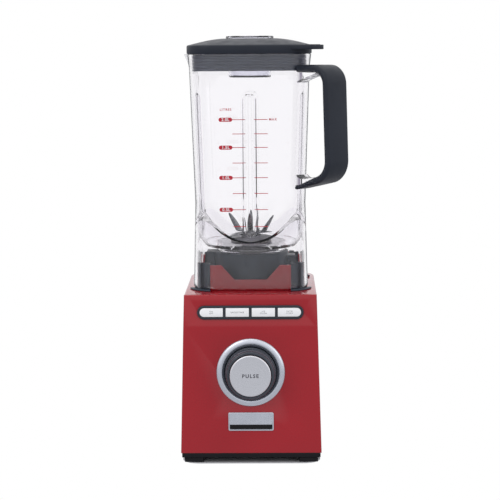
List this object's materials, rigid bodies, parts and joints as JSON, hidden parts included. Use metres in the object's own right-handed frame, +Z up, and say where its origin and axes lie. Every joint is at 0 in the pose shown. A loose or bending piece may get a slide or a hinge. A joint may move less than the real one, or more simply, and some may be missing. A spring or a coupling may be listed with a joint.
{
  "type": "countertop blender",
  "caption": "Countertop blender: leaning motor base with dial and push buttons, clear square jug with side grip, blade unit, lid and filler cap.",
  "frame": {"origin": "on the drive axis of motor and blades, at the plane the feet stand on", "axes": "+Z up, +X to the user's right, -Y towards the user (dial side)"},
  "size_m": [0.1921, 0.2309, 0.4819],
  "materials": {
    "red_gloss": "gloss",
    "black_plastic": "satin",
    "black_rubber": "matte",
    "screw_steel": "satin",
    "satin_silver": "satin",
    "brushed_cap": "brushed",
    "board_green": "satin",
    "lamination_steel": "matte",
    "copper_wire": "enamelled",
    "copper_bar": "turned",
    "brass_part": "satin",
    "cast_alloy": "cast",
    "bearing_steel": "polished",
    "charcoal_plastic": "satin",
    "charcoal_grip": "soft satin",
    "button_white": "pearl",
    "clear_plastic": "clear",
    "clear_cap": "clear",
    "blade_steel": "ground",
    "gasket_silicone": "matte",
    "grey_seal": "matte"
  },
  "bodies": {
    "base": {"base_housing": "red_gloss", "drive_plinth": "red_gloss", "front_panel": "red_gloss", "base_plate": "black_plastic", "rubber_feet": "black_rubber", "base_screws": "screw_steel", "button_bezel": "black_plastic", "dial_ring": "satin_silver", "badge_plate": "satin_silver", "button_board": "board_green", "button_switches": "black_plastic", "dial_board": "board_green", "dial_encoder": "black_plastic", "pulse_switch": "black_plastic", "motor_stator": "lamination_steel", "field_coils": "copper_wire", "motor_top_bracket": "cast_alloy", "motor_low_bracket": "cast_alloy", "motor_bearings": "bearing_steel", "brush_holders": "brass_part", "motor_mounts": "black_rubber", "fan_shroud": "black_plastic", "jug_seat": "charcoal_plastic", "seat_pads": "black_rubber", "cord_gland": "black_rubber"},
    "rotor": {"rotor_shaft": "bearing_steel", "rotor_core": "lamination_steel", "commutator": "copper_bar", "cooling_fan": "black_plastic", "drive_coupling": "black_plastic"},
    "dial": {"dial_knob": "black_plastic", "dial_shaft": "bearing_steel"},
    "pulse": {"pulse_button": "brushed_cap"},
    "button_1": {"button_1": "button_white"},
    "button_2": {"button_2": "button_white"},
    "button_3": {"button_3": "button_white"},
    "button_4": {"button_4": "button_white"},
    "jug": {"jug_vessel": "clear_plastic", "jug_skirt": "clear_plastic", "handle_grip": "charcoal_grip", "blade_housing": "bearing_steel", "blade_bearings": "bearing_steel", "shaft_seal": "black_rubber", "housing_gasket": "gasket_silicone", "retaining_nut": "charcoal_plastic"},
    "blades": {"blade_upper": "blade_steel", "blade_middle": "blade_steel", "blade_lower": "blade_steel", "blade_spindle": "bearing_steel", "blade_nut": "blade_steel", "driven_coupling": "black_plastic"},
    "lid": {"lid_cover": "charcoal_plastic", "lid_seal": "grey_seal"},
    "filler_cap": {"filler_cap": "clear_cap"}
  },
  "joints": [
    {"name": "motor_spin", "type": "hinge", "parent": "base", "child": "rotor", "pos_m": [0, 0, 0.1], "axis": [0, 0, 1], "continuous": true},
    {"name": "dial_turn", "type": "hinge", "parent": "base", "child": "dial", "pos_m": [0, -0.09779, 0.104], "axis": [0, -0.9994, 0.0345], "range_deg": [-240, 0]},
    {"name": "pulse_press", "type": "slide", "parent": "dial", "child": "pulse", "axis": [0, 0.9994, -0.0345], "range_m": [0, 0.002], "stiffness_N_per_m": 600, "springref_m": -0.003},
    {"name": "button_1_press", "type": "slide", "parent": "base", "child": "button_1", "axis": [0, 0.9953, -0.0968], "range_m": [0, 0.0015], "stiffness_N_per_m": 500, "springref_m": -0.002},
    {"name": "button_2_press", "type": "slide", "parent": "base", "child": "button_2", "axis": [0, 0.9953, -0.0968], "range_m": [0, 0.0015], "stiffness_N_per_m": 500, "springref_m": -0.002},
    {"name": "button_3_press", "type": "slide", "parent": "base", "child": "button_3", "axis": [0, 0.9953, -0.0968], "range_m": [0, 0.0015], "stiffness_N_per_m": 500, "springref_m": -0.002},
    {"name": "button_4_press", "type": "slide", "parent": "base", "child": "button_4", "axis": [0, 0.9953, -0.0968], "range_m": [0, 0.0015], "stiffness_N_per_m": 500, "springref_m": -0.002},
    {"name": "jug_lift", "type": "slide", "parent": "base", "child": "jug", "axis": [0, 0, 1], "range_m": [0, 0.08]},
    {"name": "blade_spin", "type": "hinge", "parent": "jug", "child": "blades", "pos_m": [0, 0, 0.24], "axis": [0, 0, 1], "continuous": true},
    {"name": "lid_lift", "type": "slide", "parent": "jug", "child": "lid", "axis": [0, 0, 1], "range_m": [0, 0.06]},
    {"name": "cap_lift", "type": "slide", "parent": "lid", "child": "filler_cap", "axis": [0, 0, 1], "range_m": [0, 0.06]}
  ],
  "couplings": [
    {"joint": "blade_spin", "follows": "motor_spin", "ratio": 1}
  ]
}
